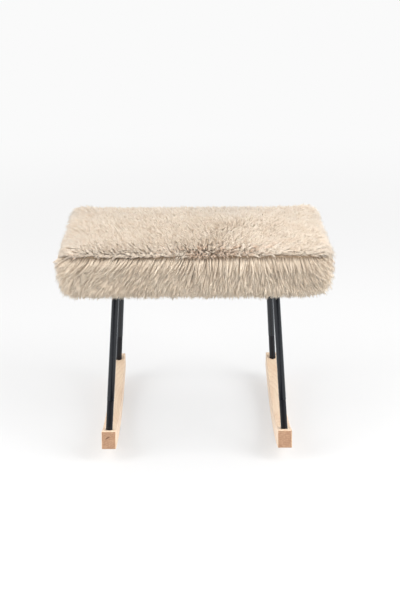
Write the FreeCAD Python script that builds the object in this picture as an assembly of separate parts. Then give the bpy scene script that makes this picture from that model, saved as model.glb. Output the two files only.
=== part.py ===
# Rocking footstool: a padded seat covered in long fur, on four round black legs
# that stand in two curved beech runners.
# Millimetres. X runs left to right, Y front to back, Z up.
# The origin is on the floor, under the middle of the stool, where the runners touch it.

import FreeCAD, Part
import math
import os

from FreeCAD import Vector

# Runners
rocker_bottom_radius = 890.0
rocker_height = 40.0
rocker_width = 32.0
rocker_overhang = 22.0
rocker_edge_radius = 2.0

# Where the legs' axes meet the rails, in from the board's edges, and how the legs spread downwards
leg_inset_x = 102.0
leg_inset_y = 15.5
leg_splay = 3.7
leg_lean = 10.0

# Leg tubes and the posts that they stand on
tube_radius = 8.0
tube_wall = 1.5
tube_rim_chamfer = 0.4
post_radius = 7.5
post_wall = 1.5
post_height = 67.0
spigot_length = 25.0
spigot_clearance = 0.05
socket_depth = 18.0
socket_clearance = 0.8

# Bolts from under the runners into plugs in the leg tubes
bolt_radius = 3.0
bolt_clearance = 0.3
bolt_engagement = 15.4
cap_head_radius = 5.0
cap_head_height = 6.0
hex_key_width = 5.0
hex_key_depth = 3.0
head_chamfer = 0.5
washer_radius = 6.0
washer_thickness = 1.6
cap_head_recess = 2.4
counterbore_clearance = 1.2
plug_length = 18.0
plug_gap = 1.0
plug_clearance = 0.05
thread_clearance = 0.05

# Seat board
board_width = 556.0
board_depth = 346.0
board_thickness = 12.0
board_corner_radius = 26.0
board_underside = 382.0

# Foam, wadding and fur
foam_thickness = 62.0
foam_roll = 12.0
wadding_side = 4.0
wadding_top = 6.0
fur_side = 11.5
fur_top = 10.0
fur_roll = 14.0
crown_rise_x = 4.0
crown_rise_y = 4.0
seam_below_edge = 6.0
seam_draw_in = 5.0
seam_lip_height = 2.5
seam_lip_draw_in = 3.0
hem_draw_in = 9.0
fringe_drop = 8.0
widest_height = 50.0
band_steps = 10
roll_steps = 6
least_corner_radius = 1.0

# Hem of the cover, and the dust cover
hem_width = 45.0
hem_thickness = 1.2
hem_wall_overlap = 0.5
dust_cover_thickness = 0.6
dust_cover_inset = 2.0

# Rails under the board
rail_width = 30.0
rail_thickness = 4.0
rail_overhang = 12.5
rail_corner_radius = 3.0
rail_bolt_gap = 4.0
rail_bolt_tip = 0.6
button_head_radius = 5.2
button_head_height = 3.3
weld_size = 3.5

# Tee nuts in the board
tee_nut_barrel_radius = 4.0
tee_nut_barrel_length = 9.0
tee_nut_flange_radius = 9.5
tee_nut_flange_thickness = 1.5
tee_nut_prong_length = 5.0
tee_nut_prong_width = 2.5
tee_nut_prong_thickness = 1.2
tee_nut_prong_circle = 7.6
tee_nut_prongs = 4
tee_nut_clearance = 0.05

# Staples
staple_crown = 10.0
staple_wire = 0.7
staple_leg = 6.0
cover_staple_pitch = 42.0
cover_staple_inset = 24.0
dust_staple_pitch = 64.0
dust_staple_inset = 9.0

# Cutting solids: how far one runs past a face, and the size of one that cuts all beyond a level
past = 1.0
far = 2000.0

# Which way along X and Y each side and end of the stool lies
SIDES = {"left": -1, "right": 1}
ENDS = {"front": -1, "rear": 1}
CORNERS = [(end, side) for end in ENDS for side in SIDES]

# Heights and radii that follow from the sizes above
hem_underside = board_underside - hem_thickness
rail_top = hem_underside - dust_cover_thickness
rail_underside = rail_top - rail_thickness
board_top = board_underside + board_thickness
foam_top = board_top + foam_thickness
wadding_crown = foam_top + wadding_top
fur_crown = wadding_crown + fur_top
seam_height = fur_crown - crown_rise_x - crown_rise_y - seam_below_edge
fringe_bottom = board_underside - fringe_drop
bore_radius = bolt_radius + bolt_clearance
thread_radius = bolt_radius + thread_clearance

# The side view of a leg: its line runs down from the rail to the circle of the runner's top face
rocker_top_radius = rocker_bottom_radius - rocker_height
leg_top_x = board_width / 2 - leg_inset_x
leg_top_y = board_depth / 2 - leg_inset_y
top_from_centre = Vector(0, leg_top_y, rail_underside - rocker_bottom_radius)
down_leg = Vector(0, math.sin(math.radians(leg_lean)), -math.cos(math.radians(leg_lean)))
along = top_from_centre.dot(down_leg)
leg_run = math.sqrt(along**2 - top_from_centre.dot(top_from_centre) + rocker_top_radius**2) - along
leg_base_y = leg_top_y + leg_run * down_leg.y
leg_base_height = rail_underside + leg_run * down_leg.z
leg_base_x = leg_top_x + (rail_underside - leg_base_height) * math.tan(math.radians(leg_splay))
leg_base_angle = math.asin(leg_base_y / rocker_top_radius)
rocker_end_angle = leg_base_angle + rocker_overhang / rocker_top_radius

# Bores, bolts and rails that follow from what they hold or lie on
counterbore_radius = washer_radius + counterbore_clearance
counterbore_depth = washer_thickness + cap_head_height + cap_head_recess
washer_seat = counterbore_depth - rocker_height - washer_thickness
plug_start = post_height + spigot_length + plug_gap
rocker_bolt_length = plug_start + bolt_engagement - washer_seat
rail_length = 2 * (leg_top_y + rail_overhang)
rail_bolt_spacing = leg_top_y - tube_radius - weld_size - rail_bolt_gap - washer_radius
rail_bolt_length = board_top + rail_bolt_tip - rail_underside + washer_thickness


def leg_direction(end, side):
    """Unit vector up a leg's axis, which leans towards the middle of the stool."""
    across = -SIDES[side] * math.tan(math.radians(leg_splay))
    along = -ENDS[end] * math.tan(math.radians(leg_lean))
    return Vector(across, along, 1).normalize()


def on_leg(end, side, distance):
    """Point on a leg's axis, at a distance above the runner's top face."""
    base = Vector(SIDES[side] * leg_base_x, ENDS[end] * leg_base_y, leg_base_height)
    return base + leg_direction(end, side) * distance


def leg_rod(end, side, radius, start, stop):
    """Round bar on a leg's axis, between two distances above the runner's top face."""
    return Part.makeCylinder(radius, stop - start, on_leg(end, side, start), leg_direction(end, side))


def distance_at_height(end, side, height):
    """How far up a leg's axis a height is."""
    return (height - leg_base_height) / leg_direction(end, side).z


def all_above(height):
    """Block that takes away everything above a height."""
    return Part.makeBox(far, far, far, Vector(-far / 2, -far / 2, height))


def arc_point(radius, angle):
    """Y and Z of a point on a circle about the runners' centre of curvature."""
    return Vector(0, radius * math.sin(angle), rocker_bottom_radius - radius * math.cos(angle))


def rocker(side):
    """Curved runner with square ends and eased edges, drilled for two posts and their bolts."""
    low = [arc_point(rocker_bottom_radius, angle) for angle in (-rocker_end_angle, 0, rocker_end_angle)]
    high = [arc_point(rocker_top_radius, angle) for angle in (rocker_end_angle, 0, -rocker_end_angle)]
    edges = [
        Part.Arc(*low).toShape(),
        Part.makeLine(low[2], high[0]),
        Part.Arc(*high).toShape(),
        Part.makeLine(high[2], low[0]),
    ]
    blank = Part.Face(Part.Wire(edges)).extrude(Vector(rocker_width, 0, 0))
    blank.translate(Vector(SIDES[side] * leg_base_x - rocker_width / 2, 0, 0))
    runner = blank.makeFillet(rocker_edge_radius, blank.Edges)
    well_below = -2 * rocker_height
    counterbore_floor = counterbore_depth - rocker_height
    for end in ENDS:
        socket = leg_rod(end, side, post_radius + socket_clearance, -socket_depth, rocker_height)
        passage = leg_rod(end, side, bore_radius, well_below, 0)
        counterbore = leg_rod(end, side, counterbore_radius, well_below, counterbore_floor)
        runner = runner.cut(socket.fuse([passage, counterbore]))
    return runner


def leg_tube(end, side):
    """Upper tube of a leg, cut level under the rail."""
    uncut_top = distance_at_height(end, side, rail_underside) + 2 * tube_radius
    outer = leg_rod(end, side, tube_radius, post_height, uncut_top)
    rim = [edge for edge in outer.Edges if edge.Closed and edge.CenterOfMass.z < board_underside / 2]
    outer = outer.makeChamfer(tube_rim_chamfer, rim)
    bore = leg_rod(end, side, tube_radius - tube_wall, post_height - past, uncut_top + past)
    return outer.cut(bore).cut(all_above(rail_underside))


def rocker_post(end, side):
    """Lower tube of a leg, drawn down at its top to a spigot inside the leg tube."""
    spigot_radius = tube_radius - tube_wall - spigot_clearance
    spigot_top = post_height + spigot_length
    shoulder = post_height - post_wall
    body = leg_rod(end, side, post_radius, -socket_depth, post_height)
    spigot = leg_rod(end, side, spigot_radius, post_height, spigot_top)
    bore = leg_rod(end, side, post_radius - post_wall, -socket_depth - past, shoulder)
    neck = leg_rod(end, side, spigot_radius - post_wall, shoulder - past, spigot_top + past)
    return body.fuse(spigot).cut(bore.fuse(neck)).removeSplitter()


def leg_threaded_plug(end, side):
    """Threaded plug inside a leg tube, just above the post's spigot."""
    plug_stop = plug_start + plug_length
    body = leg_rod(end, side, tube_radius - tube_wall - plug_clearance, plug_start, plug_stop)
    return body.cut(leg_rod(end, side, thread_radius, plug_start - past, plug_stop + past))


def hex_key_hole(depth):
    """Hexagonal socket from the level Z = 0 upwards."""
    sides = 6
    reach = hex_key_width / 2 / math.cos(math.pi / sides)
    turns = [2 * math.pi * n / sides for n in range(sides + 1)]
    corners = [Vector(reach * math.cos(turn), reach * math.sin(turn), 0) for turn in turns]
    return Part.Face(Part.makePolygon(corners)).extrude(Vector(0, 0, depth))


def bolt(head_radius, head_height, length, chamfer):
    """Bolt that stands on its head: the head's outer face is at Z = 0, the shank points up."""
    head = Part.makeCylinder(head_radius, head_height)
    rim = [edge for edge in head.Edges if edge.Closed and edge.CenterOfMass.z < head_height / 2]
    head = head.makeChamfer(chamfer, rim)
    shank = Part.makeCylinder(bolt_radius, length, Vector(0, 0, head_height))
    tip = [edge for edge in shank.Edges if edge.Closed and edge.CenterOfMass.z > head_height + length / 2]
    shank = shank.makeChamfer(head_chamfer, tip)
    return head.cut(hex_key_hole(hex_key_depth)).fuse(shank).removeSplitter()


def washer():
    """Flat washer with its lower face at Z = 0."""
    return Part.makeCylinder(washer_radius, washer_thickness).cut(
        Part.makeCylinder(bore_radius, washer_thickness)
    )


def along_leg(shape, end, side, distance):
    """Shape modelled along Z from the origin, laid on a leg's axis from a distance."""
    turn = FreeCAD.Rotation(Vector(0, 0, 1), leg_direction(end, side))
    shape.Placement = FreeCAD.Placement(on_leg(end, side, distance), turn)
    return shape


def rocker_bolt(end, side):
    """Long cap-head bolt, sunk in the runner's underside."""
    shape = bolt(cap_head_radius, cap_head_height, rocker_bolt_length, head_chamfer)
    return along_leg(shape, end, side, washer_seat - cap_head_height)


def rocker_bolt_washer(end, side):
    """Washer between a runner and its bolt's head."""
    return along_leg(washer(), end, side, washer_seat)


def rail_bolt_points(side):
    """Where the bolts of one rail are."""
    return [(SIDES[side] * leg_top_x, y) for y in (-rail_bolt_spacing, 0, rail_bolt_spacing)]


def all_rail_bolt_points():
    """Where the bolts of both rails are."""
    return rail_bolt_points("left") + rail_bolt_points("right")


def upright_rod(point, radius, low, high):
    """Round bar along Z at an X and Y, between two heights."""
    return Part.makeCylinder(radius, high - low, Vector(point[0], point[1], low))


def seat_rail(side):
    """Flat steel bar under the board, from front to back, with three bolt holes."""
    corner = Vector(SIDES[side] * leg_top_x - rail_width / 2, -rail_length / 2, rail_underside)
    bar = Part.makeBox(rail_width, rail_length, rail_thickness, corner)
    upright = [edge for edge in bar.Edges if edge.BoundBox.ZLength > rail_thickness / 2]
    bar = bar.makeFillet(rail_corner_radius, upright)
    for point in rail_bolt_points(side):
        bar = bar.cut(upright_rod(point, bore_radius, rail_underside - past, rail_top + past))
    return bar


def rail_weld_bead(end, side):
    """Weld round the top of a leg tube, against the rail's underside."""
    top = distance_at_height(end, side, rail_underside)
    rise = 2 * weld_size
    start = on_leg(end, side, top - weld_size)
    flare = Part.makeCone(tube_radius, tube_radius + rise, rise, start, leg_direction(end, side))
    tube = leg_rod(end, side, tube_radius, top - rise, top + rise)
    return flare.cut(all_above(rail_underside)).cut(tube)


def rail_bolt(point):
    """Button-head bolt through a rail into its tee nut."""
    shape = bolt(button_head_radius, button_head_height, rail_bolt_length, button_head_height / 2)
    shape.translate(Vector(point[0], point[1], rail_underside - washer_thickness - button_head_height))
    return shape


def rail_bolt_washer(point):
    """Washer under a rail."""
    shape = washer()
    shape.translate(Vector(point[0], point[1], rail_underside - washer_thickness))
    return shape


def tee_nut(point):
    """Pronged nut, pressed into the board from above."""
    barrel = upright_rod(point, tee_nut_barrel_radius, board_top - tee_nut_barrel_length, board_top)
    flange = upright_rod(point, tee_nut_flange_radius, board_top, board_top + tee_nut_flange_thickness)
    prongs = []
    for n in range(tee_nut_prongs):
        corner = Vector(tee_nut_prong_circle, -tee_nut_prong_width / 2, -tee_nut_prong_length)
        prong = Part.makeBox(tee_nut_prong_thickness, tee_nut_prong_width, tee_nut_prong_length, corner)
        prong.rotate(Vector(0, 0, 0), Vector(0, 0, 1), 360.0 / tee_nut_prongs * n)
        prong.translate(Vector(point[0], point[1], board_top))
        prongs.append(prong)
    low = board_top - tee_nut_barrel_length - past
    high = board_top + tee_nut_flange_thickness + past
    thread = upright_rod(point, thread_radius, low, high)
    return barrel.fuse([flange] + prongs).cut(thread).removeSplitter()


def rounded_rectangle(half_x, half_y, radius, height):
    """Level wire of four quarter circles joined by four lines."""
    arcs = []
    for quarter, (sign_x, sign_y) in enumerate([(1, 1), (-1, 1), (-1, -1), (1, -1)]):
        centre = Vector(sign_x * (half_x - radius), sign_y * (half_y - radius), height)
        points = []
        for part_turn in (0, 0.5, 1):
            angle = math.pi / 2 * (quarter + part_turn)
            points.append(centre + Vector(radius * math.cos(angle), radius * math.sin(angle), 0))
        arcs.append(points)
    edges = []
    for points, following in zip(arcs, arcs[1:] + arcs[:1]):
        edges.append(Part.Arc(*points).toShape())
        edges.append(Part.makeLine(points[-1], following[0]))
    return Part.Wire(edges)


def pad_block(outset, levels):
    """Block round the board's outline, through levels of a height and an inset."""
    wires = []
    for height, inset in levels:
        grow = outset - inset
        half_x = board_width / 2 + grow
        half_y = board_depth / 2 + grow
        corner_radius = max(board_corner_radius + grow, least_corner_radius)
        wires.append(rounded_rectangle(half_x, half_y, corner_radius, height))
    return Part.makeLoft(wires, True, True)


def crown(height):
    """Solid whose top is the pad's doubly curved crown, with its middle at a height."""
    half_x = board_width / 2
    half_y = board_depth / 2
    radius_x = (half_x**2 + crown_rise_x**2) / (2 * crown_rise_x)
    radius_y = (half_y**2 + crown_rise_y**2) / (2 * crown_rise_y)
    reach_x = board_width
    reach_y = board_depth
    shoulder = height - radius_y + math.sqrt(radius_y**2 - reach_y**2)
    front = Vector(0, -reach_y, shoulder)
    rear = Vector(0, reach_y, shoulder)
    front_foot = Vector(0, -reach_y, 0)
    rear_foot = Vector(0, reach_y, 0)
    section = [
        Part.Arc(front, Vector(0, 0, height), rear).toShape(),
        Part.makeLine(rear, rear_foot),
        Part.makeLine(rear_foot, front_foot),
        Part.makeLine(front_foot, front),
    ]
    face = Part.Face(Part.Wire(section))
    centre = Vector(0, 0, height - radius_x)
    swing = math.degrees(math.asin(reach_x / radius_x))
    face.rotate(centre, Vector(0, 1, 0), -swing)
    return face.revolve(centre, Vector(0, 1, 0), 2 * swing)


def rolled_levels(start, rise, reach, first_inset, top):
    """Levels of an edge that rolls over a quarter ellipse, and runs on inwards past a height."""
    levels = []
    for step in range(roll_steps):
        turn = math.pi / 2 * step / roll_steps
        levels.append((start + rise * math.sin(turn), first_inset + reach * (1 - math.cos(turn))))
    (low, near), (high, inner) = levels[-2:]
    levels.append((top, inner + (top - high) * (inner - near) / (high - low)))
    return levels


def foam_form():
    """Foam block with rolled top edges and a crowned top, without its recesses."""
    start = foam_top - crown_rise_x - crown_rise_y - foam_roll
    rolled = rolled_levels(start, foam_roll, foam_roll, 0, foam_top + past)
    return pad_block(0, [(board_top, 0)] + rolled).common(crown(foam_top))


def wadding_form():
    """Outer form of the wadding, filled."""
    roll = foam_roll + wadding_side
    start = wadding_crown - crown_rise_x - crown_rise_y - roll
    rolled = rolled_levels(start, roll, roll, 0, wadding_crown + past)
    return pad_block(wadding_side, [(board_underside, 0)] + rolled).common(crown(wadding_crown))


def board_form():
    """Seat board without its holes."""
    return pad_block(0, [(board_underside, 0), (board_top, 0)])


def band_inset(height):
    """How far the side band's pile is drawn in from its widest line, at a height."""
    widest = board_underside + widest_height
    if height > widest:
        return seam_draw_in * ((height - widest) / (seam_height - widest)) ** 2
    return hem_draw_in * ((widest - height) / (widest - fringe_bottom)) ** 2


def staple_ring(inset, pitch, crown_low):
    """Staples round the underside, each a crown and two legs that point up."""
    staples = []
    half_x = board_width / 2 - inset
    half_y = board_depth / 2 - inset
    for half, other, quarter in ((half_x, half_y, 0), (half_y, half_x, 1)):
        straight = 2 * (half - board_corner_radius)
        count = int(straight // pitch) + 1
        for n in range(count):
            place = (n - (count - 1) / 2) * pitch
            for sign in (-1, 1):
                centre = Vector(place, sign * other, crown_low)
                staples.append(one_staple(centre, quarter))
    return staples


def one_staple(centre, quarter):
    """Staple whose crown runs along X, or along Y after a quarter turn."""
    low = Vector(-staple_crown / 2, -staple_wire / 2, 0)
    shape = Part.makeBox(staple_crown, staple_wire, staple_wire, low)
    for sign in (-1, 1):
        x = sign * (staple_crown - staple_wire) / 2 - staple_wire / 2
        leg = Part.makeBox(staple_wire, staple_wire, staple_leg, Vector(x, -staple_wire / 2, 0))
        shape = shape.fuse(leg)
    shape = shape.removeSplitter()
    shape.translate(centre)
    shape.rotate(Vector(0, 0, 0), Vector(0, 0, 1), 90.0 * quarter)
    return shape


def cover_staples():
    """Staples through the hem into the board, with their crowns pressed flush into the hem."""
    return staple_ring(cover_staple_inset, cover_staple_pitch, hem_underside)


def dust_cover_staples():
    """Staples through the dust cover, with their crowns on its underside."""
    return staple_ring(dust_staple_inset, dust_staple_pitch, rail_top - staple_wire)


def clear_of_rails(staples):
    """The staples that no rail covers."""
    reach = rail_width / 2 + staple_crown
    kept = []
    for staple in staples:
        if abs(abs(staple.BoundBox.Center.x) - leg_top_x) > reach:
            kept.append(staple)
    return kept


def seat_board():
    """Plywood board with holes for the tee nuts and slits where the staples go in."""
    board = board_form()
    hole_radius = tee_nut_barrel_radius + tee_nut_clearance
    for point in all_rail_bolt_points():
        board = board.cut(upright_rod(point, hole_radius, board_underside - past, board_top + past))
        board = board.cut(tee_nut(point))
    return board.cut(STAPLE_CUTS)


def seat_foam():
    """Foam with recesses over the tee nuts' flanges."""
    foam = foam_form()
    for point in all_rail_bolt_points():
        flange = upright_rod(point, tee_nut_flange_radius, board_top, board_top + tee_nut_flange_thickness)
        foam = foam.cut(flange)
    return foam


def wadding_wrap():
    """Wadding over the foam's top, and down its sides and the board's edge."""
    return wadding_form().cut(foam_form()).cut(board_form())


def cover_top_panel():
    """Short-pile top panel of the fur cover, down to the seam, with its edges rolled over."""
    edge = fur_crown - crown_rise_x - crown_rise_y
    start = seam_height + seam_lip_height
    outset = wadding_side + fur_side
    rise = edge - start + crown_rise_y
    rolled = rolled_levels(start, rise, fur_roll, seam_lip_draw_in, fur_crown + past)
    outer = pad_block(outset, [(seam_height, seam_draw_in)] + rolled).common(crown(fur_crown))
    return outer.cut(wadding_form())


def cover_side_band():
    """Long-pile band round the four sides, from the seam to the fringe, with its hem turned under."""
    rise = seam_height - fringe_bottom
    heights = [fringe_bottom + rise * n / band_steps for n in range(band_steps + 1)]
    outer = pad_block(wadding_side + fur_side, [(height, band_inset(height)) for height in heights])
    hollow = pad_block(wadding_side, [(fringe_bottom - past, 0), (board_underside, 0)])
    hem = pad_block(wadding_side + hem_wall_overlap, [(hem_underside, 0), (board_underside, 0)])
    window = pad_block(-hem_width, [(hem_underside - past, 0), (board_underside + past, 0)])
    band = outer.cut(wadding_form()).cut(hollow).fuse(hem.cut(window)).removeSplitter()
    for point in all_rail_bolt_points():
        band = band.cut(upright_rod(point, bore_radius, hem_underside - past, board_underside + past))
    return band.cut(STAPLE_CUTS)


def dust_cover():
    """Cloth under the board, with holes for the rail bolts."""
    cloth = pad_block(-dust_cover_inset, [(rail_top, 0), (hem_underside, 0)])
    for point in all_rail_bolt_points():
        cloth = cloth.cut(upright_rod(point, bore_radius, rail_top - past, hem_underside + past))
    return cloth.cut(STAPLE_CUTS)


def write(name, shapes):
    """Writes one solid, or a group of separate solids, as one STEP file."""
    shape = shapes[0] if len(shapes) == 1 else Part.makeCompound(shapes)
    shape.exportStep("parts/" + name + ".step")
    print(name, len(shape.Solids), round(sum(solid.Volume for solid in shape.Solids) / 1000, 2), "cm3")


os.makedirs("parts", exist_ok=True)

COVER_STAPLES = cover_staples()
DUST_STAPLES = clear_of_rails(dust_cover_staples())
STAPLE_CUTS = Part.makeCompound(COVER_STAPLES + DUST_STAPLES)

for side in SIDES:
    write("rocker_" + side, [rocker(side)])
    write("seat_rail_" + side, [seat_rail(side)])
for end, side in CORNERS:
    write("leg_tube_" + end + "_" + side, [leg_tube(end, side)])
    write("rocker_post_" + end + "_" + side, [rocker_post(end, side)])
write("leg_threaded_plugs", [leg_threaded_plug(*corner) for corner in CORNERS])
write("rocker_bolts", [rocker_bolt(*corner) for corner in CORNERS])
write("rocker_bolt_washers", [rocker_bolt_washer(*corner) for corner in CORNERS])
write("rail_weld_beads", [rail_weld_bead(*corner) for corner in CORNERS])
write("rail_bolts", [rail_bolt(point) for point in all_rail_bolt_points()])
write("rail_bolt_washers", [rail_bolt_washer(point) for point in all_rail_bolt_points()])
write("tee_nuts", [tee_nut(point) for point in all_rail_bolt_points()])
write("seat_board", [seat_board()])
write("seat_foam", [seat_foam()])
write("wadding_wrap", [wadding_wrap()])
write("cover_top_panel", [cover_top_panel()])
write("cover_side_band", [cover_side_band()])
write("dust_cover", [dust_cover()])
write("cover_staples", COVER_STAPLES)
write("dust_cover_staples", DUST_STAPLES)
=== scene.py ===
"""Looks of the rocking footstool: a fur-covered pad on four black legs and two curved beech runners.

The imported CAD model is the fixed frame. The runners, legs, rails, bolts and staples stay as they are and
get their finishes here. The stuffed pad, its fur cover and the cloth under the board are made here and
stand for their CAD solids. Lengths are metres, and angles degrees unless a name says otherwise.
"""

import logging
import math
from collections.abc import Callable, Mapping, Sequence
from dataclasses import dataclass, field
from enum import Enum

import bmesh
import bpy
import numpy as np
from mathutils import Matrix, Vector
from mathutils.kdtree import KDTree


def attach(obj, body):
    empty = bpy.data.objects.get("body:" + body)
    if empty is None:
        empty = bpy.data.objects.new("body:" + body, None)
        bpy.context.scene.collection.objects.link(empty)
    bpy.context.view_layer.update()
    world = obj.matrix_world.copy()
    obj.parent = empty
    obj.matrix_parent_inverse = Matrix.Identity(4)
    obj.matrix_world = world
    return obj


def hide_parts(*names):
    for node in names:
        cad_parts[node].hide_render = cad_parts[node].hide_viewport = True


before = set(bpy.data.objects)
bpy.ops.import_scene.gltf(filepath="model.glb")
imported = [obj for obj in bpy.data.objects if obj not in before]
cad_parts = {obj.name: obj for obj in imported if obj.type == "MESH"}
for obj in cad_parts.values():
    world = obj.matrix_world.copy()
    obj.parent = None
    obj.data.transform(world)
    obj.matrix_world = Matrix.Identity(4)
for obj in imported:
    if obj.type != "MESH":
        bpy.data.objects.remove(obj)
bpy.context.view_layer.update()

logging.basicConfig(level=logging.INFO, format="%(message)s")
log = logging.getLogger("footstool")

Number = float | int
Colour = tuple[float, float, float, float]
Array = np.ndarray
Span = tuple[float, float]
Direction = tuple[float, float, float]
# The height, the wavelength in metres and the number of a random field
Wave = tuple[float, float, int]
BODY = "root"

SEAM_HEIGHT = 0.4595
# Points nearer than this lie on one another
TOUCH = 1e-5
# How deep a strand is rooted in the fabric
ROOT_DEPTH = 0.0006
# From this tone on a strand is tan
TAN_TONE = 0.8
# How much of its own tone a strand keeps when it joins a lock
OWN_TONE = 0.4
# Keeps a strand's sideways direction defined where it is straight
NUDGE = (0.013, 0.007, 0.019)
# The strands' own map: where roots and tips lie in it, and how far a strand's three sides are set apart
STRAND_MAP = "OFBake"
MAP_FOOT = 0.02
MAP_REACH = 0.94
MAP_APART = (0.004, 0.012)


def screen(red: int, green: int, blue: int) -> Colour:
    """Turns a screen colour into the linear colour that a shader socket takes.

    Args:
        red: Screen red, 0 to 255.
        green: Screen green, 0 to 255.
        blue: Screen blue, 0 to 255.

    Returns:
        The linear colour with full alpha.
    """
    shares = [value / 255 for value in (red, green, blue)]
    linear = [s / 12.92 if s <= 0.04045 else ((s + 0.055) / 1.055) ** 2.4 for s in shares]
    return (linear[0], linear[1], linear[2], 1.0)


class SignalKind(Enum):
    """What a shader socket carries."""

    VALUE = "VALUE"
    VECTOR = "VECTOR"
    COLOUR = "RGBA"


class Signal:
    """An output socket of a material, so that shader maths can be written as a Python expression."""

    def __init__(self, desk: "ShaderDesk", socket: bpy.types.NodeSocket) -> None:
        """Keeps the socket and the desk that makes further nodes."""
        self.desk = desk
        self.socket = socket

    @property
    def kind(self) -> SignalKind:
        """What this signal carries."""
        return SignalKind(self.socket.type)

    def __add__(self, other: "Operand") -> "Signal":
        """Adds."""
        return self.desk.combine("ADD", self, other)

    def __radd__(self, other: "Operand") -> "Signal":
        """Adds to what stands on the left."""
        return self.desk.combine("ADD", other, self)

    def __sub__(self, other: "Operand") -> "Signal":
        """Subtracts."""
        return self.desk.combine("SUBTRACT", self, other)

    def __rsub__(self, other: "Operand") -> "Signal":
        """Subtracts from what stands on the left."""
        return self.desk.combine("SUBTRACT", other, self)

    def __mul__(self, other: "Operand") -> "Signal":
        """Multiplies."""
        return self.desk.combine("MULTIPLY", self, other)

    def __rmul__(self, other: "Operand") -> "Signal":
        """Multiplies what stands on the left."""
        return self.desk.combine("MULTIPLY", other, self)

    def __truediv__(self, other: "Operand") -> "Signal":
        """Divides."""
        return self.desk.combine("DIVIDE", self, other)

    def __rtruediv__(self, other: "Operand") -> "Signal":
        """Divides what stands on the left."""
        return self.desk.combine("DIVIDE", other, self)

    def __pow__(self, other: "Operand") -> "Signal":
        """Raises to a power."""
        return self.desk.combine("POWER", self, other)

    def __abs__(self) -> "Signal":
        """Drops the sign."""
        return self.desk.node("ShaderNodeMath", {"operation": "ABSOLUTE"}, {0: self})

    def fraction(self) -> "Signal":
        """Keeps the part behind the decimal point."""
        return self.desk.node("ShaderNodeMath", {"operation": "FRACT"}, {0: self})

    def sine(self) -> "Signal":
        """Takes the sine of an angle in radians."""
        return self.desk.node("ShaderNodeMath", {"operation": "SINE"}, {0: self})

    def rise(self, low: Number, high: Number) -> "Signal":
        """Rises smoothly from 0 at low to 1 at high.

        Args:
            low: The value that becomes 0.
            high: The value that becomes 1.

        Returns:
            The smooth step.
        """
        return self.desk.node(
            "ShaderNodeMapRange",
            {"interpolation_type": "SMOOTHSTEP"},
            {"Value": self, "From Min": low, "From Max": high},
        )

    def part(self, name: str) -> "Signal":
        """One of a vector's numbers, X, Y or Z."""
        return self.desk.node("ShaderNodeSeparateXYZ", inputs={0: self}, output=name)


Operand = Signal | Number | Sequence[float]


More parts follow.
